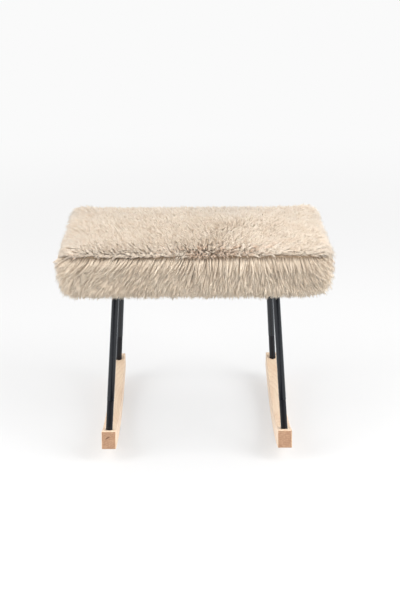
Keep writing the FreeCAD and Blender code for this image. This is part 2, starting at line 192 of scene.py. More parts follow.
class ShaderDesk:
    """Makes the nodes of one material, or of the studio's world."""

    def __init__(self, name: str, world: bool = False) -> None:
        """Starts an empty tree with an output node.

        Args:
            name: The name of the material or world.
            world: Whether it is a world.
        """
        self.owner = bpy.data.worlds.new(name) if world else bpy.data.materials.new(name)
        self.owner.use_nodes = True
        self.tree = self.owner.node_tree
        self.tree.nodes.clear()
        self.end = self.tree.nodes.new("ShaderNodeOutputWorld" if world else "ShaderNodeOutputMaterial")

    def _feed(self, socket: bpy.types.NodeSocket, value: Operand) -> None:
        """Links a signal to an input socket, or sets the socket to a constant.

        Args:
            socket: The input socket.
            value: The signal or constant. One number fills all of a vector or colour.
        """
        if isinstance(value, Signal):
            self.tree.links.new(value.socket, socket)
        elif socket.type in ("VECTOR", "RGBA") and isinstance(value, Number):
            size = len(socket.default_value)
            socket.default_value = [value] * size
        else:
            socket.default_value = value

    def node(
        self,
        kind: str,
        settings: Mapping[str, object] | None = None,
        inputs: Mapping[str | int, Operand] | None = None,
        output: str | int = 0,
    ) -> Signal:
        """Adds any node, with its settings first and its inputs after them.

        Args:
            kind: The node's type.
            settings: The node's own settings. A ramp's stops are pairs of place and colour.
            inputs: The values or signals of its sockets, by name or number.
            output: The output socket that is handed back.

        Returns:
            The chosen output as a signal.
        """
        made = self.tree.nodes.new(kind)
        for name, value in (settings or {}).items():
            if name == "stops":
                self._place_stops(made.color_ramp, value)
            else:
                setattr(made, name, value)
        for name, value in (inputs or {}).items():
            self._feed(made.inputs[name], value)
        return Signal(self, made.outputs[output])

    @staticmethod
    def _place_stops(ramp: bpy.types.ColorRamp, stops: Sequence[tuple[float, Colour]]) -> None:
        """Gives a ramp its places and colours.

        Args:
            ramp: The ramp.
            stops: Pairs of place and colour, from left to right.
        """
        while len(ramp.elements) < len(stops):
            ramp.elements.new(1.0)
        for element, (place, tint) in zip(ramp.elements, stops):
            element.position = place
            element.color = tint

    def combine(self, operation: str, first: Operand, second: Operand) -> Signal:
        """Adds the node that works out an operation on two operands.

        Args:
            operation: The operation's name in a Math node.
            first: The left operand.
            second: The right operand.

        Returns:
            The result, a colour or vector if either operand is one.
        """
        kinds = {operand.kind for operand in (first, second) if isinstance(operand, Signal)}
        if SignalKind.COLOUR in kinds:
            settings = {"data_type": "RGBA", "blend_type": operation}
            return self.node("ShaderNodeMix", settings, {0: 1.0, 6: first, 7: second}, output=2)
        if SignalKind.VECTOR in kinds:
            return self.node("ShaderNodeVectorMath", {"operation": operation}, {0: first, 1: second})
        return self.node("ShaderNodeMath", {"operation": operation}, {0: first, 1: second})

    def mix(self, mask: Operand, low: Operand, high: Operand) -> Signal:
        """Goes from one colour to another.

        Args:
            mask: 0 for the first colour, 1 for the second.
            low: The first colour.
            high: The second colour.

        Returns:
            The mixed colour.
        """
        settings = {"data_type": "RGBA", "clamp_factor": True}
        return self.node("ShaderNodeMix", settings, {0: mask, 6: low, 7: high}, output=2)

    def place(self, scale: Sequence[float] = (1.0, 1.0, 1.0), turn: Sequence[float] = (0, 0, 0)) -> Signal:
        """Object coordinates, stretched and turned.

        Args:
            scale: How much denser the pattern gets along each axis.
            turn: The turn about each axis, in degrees.

        Returns:
            The coordinates.
        """
        raw = self.node("ShaderNodeTexCoord", output="Object")
        radians = [math.radians(angle) for angle in turn]
        return self.node("ShaderNodeMapping", inputs={"Vector": raw, "Scale": scale, "Rotation": radians})

    def noise(self, where: Signal, scale: Number, detail: Number = 2.0, roughness: Number = 0.5) -> Signal:
        """Smooth noise around 0.5.

        Args:
            where: The coordinates.
            scale: Bumps in a metre.
            detail: How many finer layers are added.
            roughness: How strong the finer layers are.

        Returns:
            The noise.
        """
        inputs = {"Vector": where, "Scale": scale, "Detail": detail, "Roughness": roughness}
        return self.node("ShaderNodeTexNoise", inputs=inputs)

    def bump(self, height: Signal, distance: Number, strength: Number = 1.0) -> Signal:
        """The normal of a surface with small bumps.

        Args:
            height: The bumps, 0 to 1.
            distance: The height of a bump of 1, in metres.
            strength: The share of the effect.

        Returns:
            The normal.
        """
        inputs = {"Height": height, "Distance": distance, "Strength": strength}
        return self.node("ShaderNodeBump", inputs=inputs, output="Normal")

    def glow(self, kind: str, tint: Operand, strength: Number) -> Signal:
        """A shader that gives off even light, of the kind Emission or Background."""
        return self.node(f"ShaderNode{kind}", inputs={"Color": tint, "Strength": strength})

    def blend(self, share: Operand, first: Signal, second: Signal) -> Signal:
        """Goes from one shader at a share of 0 to another at 1."""
        return self.node("ShaderNodeMixShader", inputs={0: share, 1: first, 2: second})

    def finish(self, shader: Signal) -> bpy.types.Material | bpy.types.World:
        """Ends the tree in a shader and hands back the material or world."""
        self.tree.links.new(shader.socket, self.end.inputs["Surface"])
        return self.owner

    def principled(self, inputs: Mapping[str, Operand]) -> bpy.types.Material:
        """Ends the material in one Principled shader, given its values and signals by socket name."""
        return self.finish(self.node("ShaderNodeBsdfPrincipled", inputs=inputs))


@dataclass(frozen=True)
class Beech:
    """Oiled solid beech with its grain along the runners."""

    pale: Colour = screen(250, 226, 198)
    deep: Colour = screen(240, 210, 180)
    ring_line: Colour = screen(218, 184, 152)
    end_grain: Colour = screen(176, 137, 110)
    fleck: Colour = screen(150, 112, 82)
    ring_gap: float = 0.0042
    ring_turn: float = 68.0
    knot_core: Colour = screen(112, 78, 56)
    knot: tuple[float, float, float] = (-0.1985, -0.243, 0.0585)
    knot_length: float = 0.006
    knot_width: float = 0.0019
    knot_turn: float = 30.0
    knot_depth: float = 0.02
    specular: float = 0.4

    def make(self) -> bpy.types.Material:
        """Makes the material.

        Returns:
            Rings through the solid wood, long fibres, short dark flecks and a darker end grain.
        """
        desk = ShaderDesk("beech")
        wander = desk.noise(desk.place((1.0, 0.12, 1.0)), 26.0, 3.0)
        spot = desk.place()
        turn = math.radians(self.ring_turn)
        across = abs(spot.part("X")) * math.cos(turn) + spot.part("Z") * math.sin(turn)
        phase = across / self.ring_gap + wander * 5.0
        ring = phase.fraction() ** 3.0
        broad = desk.noise(desk.place((1.0, 0.08, 1.0)), 60.0, 2.0)
        fibre = desk.noise(desk.place((1.0, 0.035, 1.0)), 1500.0, 3.0, 0.65)
        flecks = desk.noise(desk.place((1.0, 0.16, 1.0)), 900.0, 1.0).rise(0.66, 0.74)
        end = abs(desk.node("ShaderNodeTexCoord", output="Normal").part("Y")).rise(0.7, 0.95)
        wood = desk.mix(broad.rise(0.3, 0.72), self.pale, self.deep)
        wood = desk.mix(ring * 0.42, wood, self.ring_line)
        wood = desk.mix((fibre - 0.5) * 0.55 + 0.12, wood, self.ring_line)
        cut = desk.mix(phase.fraction() * 0.6, self.end_grain, self.fleck)
        cloud = desk.noise(spot, 240.0, 3.0).rise(0.35, 0.7)
        cut = desk.mix(cloud * 0.3, cut, self.ring_line)
        pores = desk.noise(spot, 2400.0, 2.0).rise(0.52, 0.7)
        cut = desk.mix(pores * 0.3, cut, self.fleck)
        cut = desk.mix(self._knot(spot) * 0.85, cut, self.knot_core)
        wood = desk.mix(end, wood, cut)
        wood = desk.mix(flecks * (1.0 - end) * 0.55, wood, self.fleck)
        rough = 0.5 + (fibre - 0.5) * 0.25 + end * 0.15
        normal = desk.bump(fibre * 0.6 + ring * 0.25 + pores * end * 0.4, 0.00008)
        inputs = {"Base Color": wood, "Roughness": rough, "Normal": normal}
        return desk.principled({**inputs, "Specular IOR Level": self.specular})

    def _knot(self, spot: Signal) -> Signal:
        """A pin knot, which shows as a short dark streak on the left runner's front end.

        Args:
            spot: The object coordinates.

        Returns:
            1 in the knot, 0 in the clear wood.
        """
        turn = math.radians(self.knot_turn)
        beside = spot.part("X") - self.knot[0]
        above = spot.part("Z") - self.knot[2]
        along = (beside * math.cos(turn) + above * math.sin(turn)) / self.knot_length
        across = (above * math.cos(turn) - beside * math.sin(turn)) / self.knot_width
        deep = (spot.part("Y") - self.knot[1]) / self.knot_depth
        return 1.0 - (along * along + across * across + deep * deep).rise(0.3, 1.4)


@dataclass(frozen=True)
class PowderCoat:
    """Black powder coat on steel, glossy or satin."""

    name: str
    body: Colour
    worn: Colour
    roughness: float
    specular: float
    dimple: float

    def make(self) -> bpy.types.Material:
        """Makes the material.

        Returns:
            Black paint with the faint dimples of a baked powder and a little dust in its tone.
        """
        desk = ShaderDesk(self.name)
        dimples = desk.noise(desk.place(), 420.0, 2.0)
        grit = desk.noise(desk.place(), 2600.0, 1.0)
        cloud = desk.noise(desk.place(), 22.0, 3.0)
        paint = desk.mix(cloud.rise(0.35, 0.8) * 0.5 + grit.rise(0.6, 0.8) * 0.15, self.body, self.worn)
        rough = self.roughness + (cloud - 0.5) * 0.12 + (grit - 0.5) * 0.06
        normal = desk.bump(dimples * 0.8 + grit * 0.2, self.dimple)
        inputs = {"Base Color": paint, "Roughness": rough, "Normal": normal}
        return desk.principled({**inputs, "Specular IOR Level": self.specular})


@dataclass(frozen=True)
class ZincSteel:
    """Bright zinc-plated steel of the fixings."""

    name: str = "zinc_steel"
    bright: Colour = screen(196, 200, 206)
    dull: Colour = screen(150, 154, 158)
    roughness: float = 0.32

    def make(self) -> bpy.types.Material:
        """Makes the material.

        Returns:
            Metal with the cloudy patches and fine scratches of plating.
        """
        desk = ShaderDesk(self.name)
        cloud = desk.noise(desk.place(), 260.0, 3.0)
        scratch = desk.noise(desk.place((1.0, 12.0, 1.0), (20.0, 35.0, 0.0)), 900.0, 2.0)
        metal = desk.mix(cloud.rise(0.35, 0.7), self.bright, self.dull)
        rough = self.roughness + (cloud - 0.5) * 0.2 + (scratch - 0.5) * 0.12
        normal = desk.bump(scratch, 0.00003)
        inputs = {"Base Color": metal, "Roughness": rough, "Normal": normal}
        return desk.principled({**inputs, "Metallic": 1.0})


@dataclass(frozen=True)
class Plywood:
    """Birch plywood of the seat board."""

    face: Colour = screen(222, 196, 156)
    glue_line: Colour = screen(128, 92, 62)
    ply: float = 0.0015

    def make(self) -> bpy.types.Material:
        """Makes the material.

        Returns:
            Long grain on the faces, and light and dark plies round the edge.
        """
        desk = ShaderDesk("plywood")
        grain = desk.noise(desk.place((0.06, 1.0, 1.0)), 420.0, 3.0, 0.6)
        figure = desk.noise(desk.place((0.15, 1.0, 1.0)), 30.0, 2.0)
        layer = (desk.place().part("Z") / self.ply).fraction().rise(0.72, 0.86)
        upright = abs(desk.node("ShaderNodeTexCoord", output="Normal").part("Z")).rise(0.4, 0.7)
        wood = desk.mix(grain * 0.35 + figure * 0.2, self.face, self.glue_line)
        wood = desk.mix(layer * (1.0 - upright) * 0.7, wood, self.glue_line)
        normal = desk.bump(grain, 0.0001)
        return desk.principled({"Base Color": wood, "Roughness": 0.62 + grain * 0.1, "Normal": normal})


@dataclass(frozen=True)
class FeltedCloth:
    """Black non-woven cloth with its embossed grid of small dots."""

    dark: Colour = screen(24, 24, 26)
    light: Colour = screen(48, 48, 51)
    dot_gap: float = 0.0016

    def make(self) -> bpy.types.Material:
        """Makes the material.

        Returns:
            Matted black fibres with rows of pressed dots.
        """
        desk = ShaderDesk("black_cloth")
        turned = desk.place(turn=(0.0, 0.0, 45.0))
        rows = (turned.part("X") * (math.tau / self.dot_gap)).sine()
        columns = (turned.part("Y") * (math.tau / self.dot_gap)).sine()
        dots = (rows * columns).rise(0.25, 0.75)
        fibre = desk.noise(desk.place((1.0, 0.3, 1.0), (0.0, 0.0, 30.0)), 2600.0, 2.0)
        cloud = desk.noise(desk.place(), 45.0, 3.0)
        cloth = desk.mix(fibre * 0.5 + cloud * 0.4 - dots * 0.3, self.dark, self.light)
        normal = desk.bump(fibre * 0.5 - dots * 0.8, 0.00018)
        rough = 0.82 - dots * 0.2
        return desk.principled({"Base Color": cloth, "Roughness": rough, "Normal": normal})


@dataclass(frozen=True)
class Wadding:
    """White polyester wadding over the foam."""

    pale: Colour = screen(238, 237, 232)
    shade: Colour = screen(214, 212, 205)

    def make(self) -> bpy.types.Material:
        """Makes the material.

        Returns:
            Soft white fibres in loose clouds.
        """
        desk = ShaderDesk("wadding")
        cloud = desk.noise(desk.place(), 70.0, 4.0, 0.6)
        fibre = desk.noise(desk.place((1.0, 0.25, 0.6), (0.0, 0.0, 40.0)), 1500.0, 3.0)
        tint = desk.mix(cloud * 0.7 + fibre * 0.3, self.pale, self.shade)
        normal = desk.bump(cloud * 0.7 + fibre * 0.4, 0.0012)
        inputs = {"Base Color": tint, "Roughness": 0.9 - fibre * 0.1, "Normal": normal}
        return desk.principled({**inputs, "Sheen Weight": 0.2})


@dataclass(frozen=True)
class Backing:
    """Knitted backing from which the pile of the fur grows."""

    name: str
    thread: Colour
    # The colour of the gaps between stitches: painted shade in the recesses of the knit
    gap_shade: Colour
    stitch: float = 0.0011

    def make(self) -> bpy.types.Material:
        """Makes the material.

        Returns:
            Fine knit whose gaps between its stitches are darkened with painted shade.
        """
        desk = ShaderDesk(self.name)
        spot = desk.place()
        rows = (spot.part("X") * (math.tau / self.stitch)).sine()
        columns = (spot.part("Y") * (math.tau / self.stitch)).sine()
        levels = (spot.part("Z") * (math.tau / self.stitch)).sine()
        knit = abs(rows * columns) + abs(levels) * 0.3
        patch = desk.noise(spot, 120.0, 3.0)
        # The gaps between stitches take the painted shade colour
        tint = desk.mix(knit * 0.5 + patch * 0.4, self.gap_shade, self.thread)
        normal = desk.bump(knit, 0.0003)
        return desk.principled({"Base Color": tint, "Roughness": 0.88 + patch * 0.06, "Normal": normal})


@dataclass(frozen=True)
class FurFibre:
    """Fur pile. A strand's own map holds its tone across and its height up from the root."""

    name: str
    # The root colour is painted shade: darker than the strand, for the shadow deep in the pile
    root: Colour
    middle: Colour
    tip: Colour
    shade: Colour
    tan: Colour
    middle_span: Span = (0.3, 0.72)
    dark_span: Span = (0.02, TAN_TONE - 0.1)
    dark_share: float = 0.5
    tan_fade: float = 0.05
    tan_height: Span = (0.1, 0.6)
    tan_share: float = 0.55
    roughness: float = 0.62
    specular: float = 0.3
    sheen: float = 0.25
    sheen_roughness: float = 0.45

    def make(self) -> bpy.types.Material:
        """Makes the material.

        Returns:
            Strands that go from a root darkened with painted shade, standing for the shadow deep in the
            pile, to a pale tip, each in its own tone.
        """
        desk = ShaderDesk(self.name)
        chart = desk.node("ShaderNodeUVMap", {"uv_map": STRAND_MAP})
        tone = chart.part("X")
        height = chart.part("Y")
        low, high = self.middle_span
        # The ramp's root stop paints the pile's shade at the foot of each strand
        stops = [(0.0, self.root), (low, self.middle), (high, self.middle), (1.0, self.tip)]
        hair = desk.node("ShaderNodeValToRGB", {"stops": stops}, {0: height})
        darker = 1.0 - tone.rise(*self.dark_span)
        hair = desk.mix(darker * self.dark_share, hair, self.shade)
        tanned = tone.rise(TAN_TONE, TAN_TONE + self.tan_fade) * height.rise(*self.tan_height)
        hair = desk.mix(tanned * self.tan_share, hair, self.tan)
        rough = self.roughness + darker * 0.2
        inputs = {"Base Color": hair, "Roughness": rough, "Specular IOR Level": self.specular}
        sheen = {"Sheen Weight": self.sheen, "Sheen Roughness": self.sheen_roughness}
        return desk.principled({**inputs, **sheen})


def finished(form: bmesh.types.BMesh, name: str, smooth: bool = True) -> bpy.types.Object:
    """Turns a shaped bmesh into an object at the origin.

    Args:
        form: The shape, which is freed.
        name: The object's name.
        smooth: Whether its faces are shaded as one smooth surface.

    Returns:
        The linked object.
    """
    mesh = bpy.data.meshes.new(name)
    form.to_mesh(mesh)
    form.free()
    if smooth:
        mesh.shade_smooth()
    made = bpy.data.objects.new(name, mesh)
    bpy.context.scene.collection.objects.link(made)
    return made


def settle_piece(
    piece: bpy.types.Object, material: bpy.types.Material, nodes: Sequence[str]
) -> None:
    """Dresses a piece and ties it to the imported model.

    Args:
        piece: The piece.
        material: Its material.
        nodes: The CAD nodes that it stands for.
    """
    piece.data.materials.clear()
    piece.data.materials.append(material)
    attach(piece, BODY)
    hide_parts(*nodes)
    log.info("%s: %d faces", piece.name, len(piece.data.polygons))


def unit(vectors: Array) -> Array:
    """Scales rows of vectors to length 1."""
    length = np.linalg.norm(vectors, axis=1, keepdims=True)
    return vectors / np.maximum(length, 1e-9)


def step(values: Array, low: float, high: float) -> Array:
    """Rises smoothly from 0 at low to 1 at high, also where low is the larger."""
    share = np.clip((values - low) / (high - low), 0.0, 1.0)
    return share * share * (3.0 - 2.0 * share)


@dataclass(frozen=True)
class Ripple:
    """A smooth random field over space, between about -1 and 1."""

    wavelength: float
    seed: int
    waves: int = 7

    def at(self, points: Array) -> Array:
        """Reads the field.

        Args:
            points: Rows of places.

        Returns:
            One value for each place.
        """
        draw = np.random.default_rng(self.seed)
        heading = unit(draw.normal(size=(self.waves, 3)))
        pitch = math.tau / (self.wavelength * draw.uniform(0.6, 1.6, self.waves))
        phase = draw.uniform(0.0, math.tau, self.waves)
        total = np.sin(points @ (heading * pitch[:, None]).T + phase).sum(axis=1)
        return total / math.sqrt(self.waves)


@dataclass
class Surface:
    """The triangles of a cover panel, in which strands are rooted."""

    corners: Array
    normals: Array

    @classmethod
    def of(cls, form: bmesh.types.BMesh) -> "Surface":
        """Reads a panel.

        Args:
            form: The panel, which isn't changed.

        Returns:
            The panel's triangles with the smooth normals at their corners.
        """
        copy = form.copy()
        bmesh.ops.triangulate(copy, faces=copy.faces)
        copy.normal_update()
        corners = np.array([[v.co for v in face.verts] for face in copy.faces])
        normals = np.array([[v.normal for v in face.verts] for face in copy.faces])
        copy.free()
        return cls(corners, normals)

    def scatter(
        self, count: int, wish: Callable[[Array], Array], draw: np.random.Generator
    ) -> tuple[Array, Array]:
        """Spreads points over the panel.

        Args:
            count: How many points.
            wish: Gives how many points a place should get, against 1 elsewhere.
            draw: The seeded source of chance.

        Returns:
            The points, and the normals there.
        """
        edges = self.corners[:, 1:] - self.corners[:, :1]
        area = np.linalg.norm(np.cross(edges[:, 0], edges[:, 1]), axis=1)
        share = np.cumsum(area * wish(self.corners.mean(axis=1)))
        target = (np.arange(count) + draw.random(count)) / count * share[-1]
        pick = np.minimum(np.searchsorted(share, target), len(share) - 1)
        first = draw.random(count)
        second = draw.random(count)
        over = first + second > 1.0
        first = np.where(over, 1.0 - first, first)
        second = np.where(over, 1.0 - second, second)
        weights = np.stack([1.0 - first - second, first, second], axis=1)[:, :, None]
        points = (self.corners[pick] * weights).sum(axis=1)
        return points, unit((self.normals[pick] * weights).sum(axis=1))


@dataclass
class SeatForm:
    """The stuffed seat: its padding, and the fur fabric that is pulled over it and under the board."""

    half_length: float = 0.2845
    half_width: float = 0.1785
    corner_radius: float = 0.026
    corner_flats: int = 8
    edge_roll: float = 0.015
    roll_flats: int = 5
    underside: float = 0.3808
    board_underside: float = 0.382
    board_top: float = 0.394
    top_edge: float = 0.4685
    fabric: float = 0.0012
    wadding_wall: float = 0.004
    hem_width: float = 0.045
    voxel: float = 0.006
    pressure: float = 4.0
    frames: int = 20
    swell: float = 0.0045
    smoothing: float = 0.4
    fabric_share: float = 0.9
    seam: float = SEAM_HEIGHT
    form: bmesh.types.BMesh | None = field(default=None, repr=False)

    def _rough(self) -> bpy.types.Object:
        """The seat before it is stuffed.

        Returns:
            A rounded block, a little smaller than the finished seat.
        """
        form = bmesh.new()
        bmesh.ops.create_cube(form, size=1.0)
        height = self.top_edge - self.underside
        bmesh.ops.scale(form, vec=(2 * self.half_length, 2 * self.half_width, height), verts=form.verts)
        bmesh.ops.translate(form, vec=(0.0, 0.0, self.underside + height / 2), verts=form.verts)
        upright = [e for e in form.edges if abs(e.verts[0].co.z - e.verts[1].co.z) > height / 2]
        self._round(form, upright, self.corner_radius, self.corner_flats)
        top = [e for e in form.edges if all(v.co.z > self.top_edge - TOUCH for v in e.verts)]
        self._round(form, top, self.edge_roll, self.roll_flats)
        return finished(form, "seat_block")

    @staticmethod
    def _round(
        form: bmesh.types.BMesh, edges: Sequence[bmesh.types.BMEdge], radius: float, segments: int
    ) -> None:
        """Rounds edges over.

        Args:
            form: The form that they belong to.
            edges: The edges.
            radius: The radius of the rounding.
            segments: How many flats it gets.
        """
        bmesh.ops.bevel(
            form,
            geom=edges,
            offset=radius,
            offset_type="OFFSET",
            affect="EDGES",
            segments=segments,
            profile=0.5,
            material=-1,
            clamp_overlap=True,
        )

    def _remeshed(self, block: bpy.types.Object) -> bpy.types.Object:
        """A copy of the block in even small faces.

        Args:
            block: The block, which is removed.

        Returns:
            The copy.
        """
        remesh = block.modifiers.new("even_faces", "REMESH")
        remesh.mode = "VOXEL"
        remesh.voxel_size = self.voxel
        shown = block.evaluated_get(bpy.context.evaluated_depsgraph_get())
        mesh = bpy.data.meshes.new_from_object(shown)
        bpy.data.objects.remove(block)
        copy = bpy.data.objects.new("seat_cloth", mesh)
        bpy.context.scene.collection.objects.link(copy)
        return copy

    def _inflate(self, cloth: bpy.types.Object) -> None:
        """Blows the cloth up as the padding does, while the part round the board stays where it is.

        Args:
            cloth: The evenly meshed block, whose points are moved.
        """
        held = cloth.vertex_groups.new(name="held")
        low = [v.index for v in cloth.data.vertices if v.co.z < self.board_top]
        held.add(low, 1.0, "REPLACE")
        swelling = cloth.modifiers.new("padding", "CLOTH")
        swelling.settings.use_pressure = True
        swelling.settings.uniform_pressure_force = self.pressure
        swelling.settings.effector_weights.gravity = 0.0
        swelling.settings.vertex_group_mass = held.name
        swelling.point_cache.frame_end = self.frames
        for number in range(1, self.frames + 1):
            bpy.context.scene.frame_set(number)
        shown = cloth.evaluated_get(bpy.context.evaluated_depsgraph_get())
        before = self._read(cloth.data)
        after = self._read(shown.data)
        cloth.modifiers.clear()
        bpy.context.scene.frame_set(1)
        move = after - before
        far = np.linalg.norm(move, axis=1, keepdims=True)
        move *= self.swell * np.tanh(far / self.swell) / np.maximum(far, 1e-9)
        cloth.data.vertices.foreach_set("co", (before + move).ravel())
        cloth.data.update()
        furthest = float(np.linalg.norm(move, axis=1).max())
        log.info("padding moved the cover by up to %.1f mm", 1000 * furthest)

    @staticmethod
    def _read(mesh: bpy.types.Mesh) -> Array:
        """Reads a mesh.

        Args:
            mesh: The mesh.

        Returns:
            The places of its points.
        """
        flat = np.zeros(len(mesh.vertices) * 3)
        mesh.vertices.foreach_get("co", flat)
        return flat.reshape(-1, 3)

    def stuff(self) -> None:
        """Makes the stuffed form that the padding and the cover panels are cut from."""
        cloth = self._remeshed(self._rough())
        self._inflate(cloth)
        self.form = bmesh.new()
        self.form.from_mesh(cloth.data)
        bpy.data.objects.remove(cloth)
        bmesh.ops.smooth_vert(
            self.form, verts=self.form.verts, factor=self.smoothing, use_axis_x=True, use_axis_y=True
        )
        bmesh.ops.recalc_face_normals(self.form, faces=self.form.faces)
        self.form.normal_update()

    @staticmethod
    def _trim(form: bmesh.types.BMesh, height: float, upward: bool) -> None:
        """Cuts a form level and drops what lies beyond the cut.

        Args:
            form: The form.
            height: The height of the cut.
            upward: Whether the part above the cut is dropped.
        """
        everything = [*form.verts, *form.edges, *form.faces]
        cut = {"plane_co": (0, 0, height), "plane_no": (0, 0, 1 if upward else -1)}
        bmesh.ops.bisect_plane(form, geom=everything, clear_outer=True, **cut)

    def padding(self) -> bpy.types.Object:
        """Makes the foam and its wadding as one soft body that sits on and round the board.

        Returns:
            The piece, open nowhere and hollow where the board is.
        """
        form = self.form.copy()
        for vert in form.verts:
            vert.co -= vert.normal * self.fabric
        self._trim(form, self.board_underside, upward=False)
        rim = [e for e in form.edges if e.is_boundary]
        sole = bmesh.ops.contextual_create(form, geom=rim)["faces"]
        bmesh.ops.inset_region(form, faces=sole, thickness=self.wadding_wall, use_even_offset=True)
        lift = bmesh.ops.extrude_face_region(form, geom=sole)
        bmesh.ops.delete(form, geom=sole, context="FACES")
        raised = [v for v in lift["geom"] if isinstance(v, bmesh.types.BMVert)]
        bmesh.ops.translate(form, verts=raised, vec=(0.0, 0.0, self.board_top - self.board_underside))
        bmesh.ops.recalc_face_normals(form, faces=form.faces)
        return finished(form, "seat_padding")

    def top_panel(self) -> bmesh.types.BMesh:
        """Cuts out the fabric of the top.

        Returns:
            The panel from seam to seam, as a thin skin.
        """
        form = self.form.copy()
        self._trim(form, self.seam, upward=False)
        return form

    def band(self) -> bmesh.types.BMesh:
        """Cuts out the fabric of the four sides.

        Returns:
            The band with its hem turned under the board, as a thin skin.
        """
        form = self.form.copy()
        self._trim(form, self.seam, upward=True)
        inner_x = self.half_length - self.hem_width
        inner_y = self.half_width - self.hem_width
        for place, heading in (((inner_x, 0, 0), (1, 0, 0)), ((0, inner_y, 0), (0, 1, 0))):
            for side in (1, -1):
                low = [f for f in form.faces if f.calc_center_median().z < self.board_underside]
                rim = {e for f in low for e in f.edges}
                points = {v for f in low for v in f.verts}
                plane = [side * value for value in place]
                bmesh.ops.bisect_plane(form, geom=[*points, *rim, *low], plane_co=plane, plane_no=heading)
        window = []
        for face in form.faces:
            centre = face.calc_center_median()
            if centre.z < self.board_underside and abs(centre.x) < inner_x and abs(centre.y) < inner_y:
                window.append(face)
        bmesh.ops.delete(form, geom=window, context="FACES")
        return form

    def sewn(self, skin: bmesh.types.BMesh, name: str) -> bpy.types.Object:
        """Gives a panel its thickness, inwards.

        Args:
            skin: The panel, which is used up.
            name: The piece's name.

        Returns:
            The piece.
        """
        skin.normal_update()
        bmesh.ops.solidify(skin, geom=skin.faces, thickness=self.fabric * self.fabric_share)
        bmesh.ops.recalc_face_normals(skin, faces=skin.faces)
        return finished(skin, name)


@dataclass(frozen=True)
class StrandShape:
    """One tapered strand with three sides.

    Each ring is its height and its width, as shares of the whole.
    """

    rings: tuple[tuple[float, float], ...]

    def cut(self) -> tuple[Array, Array]:
        """Shapes the strand, one unit tall on the origin.

        Returns:
            Its points and its triangles.
        """
        form = bmesh.new()
        bmesh.ops.create_cone(form, cap_ends=True, segments=3, radius1=1.0, radius2=0.0, depth=1.0)
        bmesh.ops.remove_doubles(form, verts=form.verts, dist=TOUCH)
        bmesh.ops.translate(form, vec=(0.0, 0.0, 0.5), verts=form.verts)
        for height, width in self.rings:
            everything = [*form.verts, *form.edges, *form.faces]
            level = {"plane_co": (0, 0, height), "plane_no": (0, 0, 1)}
            cut = bmesh.ops.bisect_plane(form, geom=everything, **level)
            ring = [v for v in cut["geom_cut"] if isinstance(v, bmesh.types.BMVert)]
            grow = width / (1.0 - height)
            bmesh.ops.scale(form, vec=(grow, grow, 1.0), verts=ring)
        bmesh.ops.triangulate(form, faces=form.faces)
        bmesh.ops.recalc_face_normals(form, faces=form.faces)
        form.verts.index_update()
        points = np.array([v.co for v in form.verts])
        triangles = np.array([[v.index for v in face.verts] for face in form.faces])
        form.free()
        return points, triangles


@dataclass
class Strands:
    """Many strands as arrays: root, bend and tip of each, its width and its tone."""

    root: Array
    bend: Array
    tip: Array
    width: Array
    tone: Array

    def gathered(
        self, locks: "Strands", at_bend: float, at_tip: float, grip: Array | float = 1.0
    ) -> "Strands":
        """Draws each strand towards the nearest lock, more at its tip than at its bend.

        Args:
            locks: The strands that the others gather round.
            at_bend: The share of the way at the bend.
            at_tip: The share of the way at the tip.
            grip: How well each strand is held in its lock, 0 for a stray hair.

        Returns:
            The gathered strands.
        """
        tree = KDTree(len(locks.root))
        for index, place in enumerate(locks.root):
            tree.insert(place, index)
        tree.balance()
        near = np.array([tree.find(place)[1] for place in self.root])
        bend = self.bend + (locks.bend[near] - self.bend) * at_bend * grip
        tip = self.tip + (locks.tip[near] - self.tip) * at_tip * grip
        tone = self.tone * OWN_TONE + locks.tone[near] * (1.0 - OWN_TONE)
        return Strands(self.root, bend, tip, self.width, tone)

    def mesh(self, name: str, shape: StrandShape, chosen: Array) -> bpy.types.Object:
        """Makes one piece of the chosen strands.

        Args:
            name: The piece's name.
            shape: The shape that each strand is a bent copy of.
            chosen: The numbers of the strands.

        Returns:
            The piece, with the map of tone and height.
        """
        points, triangles = shape.cut()
        up = points[:, 2][None, :, None]
        root = self.root[chosen][:, None, :]
        bend = self.bend[chosen][:, None, :]
        tip = self.tip[chosen][:, None, :]
        line = (1 - up) ** 2 * root + 2 * up * (1 - up) * bend + up**2 * tip
        heading = unit(self.tip[chosen] - self.root[chosen])
        lift = unit(self.bend[chosen] - self.root[chosen]) + np.array(NUDGE)
        across = unit(np.cross(heading, lift))
        over = np.cross(heading, across)
        width = self.width[chosen][:, None, None]
        spread = points[:, 0][None, :, None] * across[:, None, :]
        spread = spread + points[:, 1][None, :, None] * over[:, None, :]
        places = (line + spread * width).reshape(-1, 3)
        count = len(chosen)
        faces = (triangles[None] + (np.arange(count) * len(points))[:, None, None]).reshape(-1, 3)
        side = np.round((np.arctan2(points[:, 1], points[:, 0]) / math.tau) * 3) % 3
        chart = np.zeros((count, len(points), 2))
        chart[:, :, 0] = self.tone[chosen][:, None] + side[None, :] * MAP_APART[0]
        chart[:, :, 1] = MAP_FOOT + MAP_REACH * points[:, 2][None, :] + side[None, :] * MAP_APART[1]
        return self._piece(name, places, faces, chart.reshape(-1, 2))

    @staticmethod
    def _piece(name: str, places: Array, faces: Array, chart: Array) -> bpy.types.Object:
        """Fills a mesh from whole arrays, because a point at a time would take minutes.

        Args:
            name: The piece's name.
            places: The places of its points.
            faces: The points of each triangle.
            chart: The map's place for each point.

        Returns:
            The linked piece.
        """
        mesh = bpy.data.meshes.new(name)
        mesh.vertices.add(len(places))
        mesh.vertices.foreach_set("co", places.ravel())
        mesh.loops.add(faces.size)
        mesh.loops.foreach_set("vertex_index", faces.ravel().astype(np.int32))
        mesh.polygons.add(len(faces))
        mesh.polygons.foreach_set("loop_start", np.arange(0, faces.size, 3, dtype=np.int32))
        mesh.update(calc_edges=True)
        layer = mesh.uv_layers.new(name=STRAND_MAP)
        layer.data.foreach_set("uv", chart[faces.ravel()].ravel())
        mesh.shade_smooth()
        made = bpy.data.objects.new(name, mesh)
        bpy.context.scene.collection.objects.link(made)
        return made


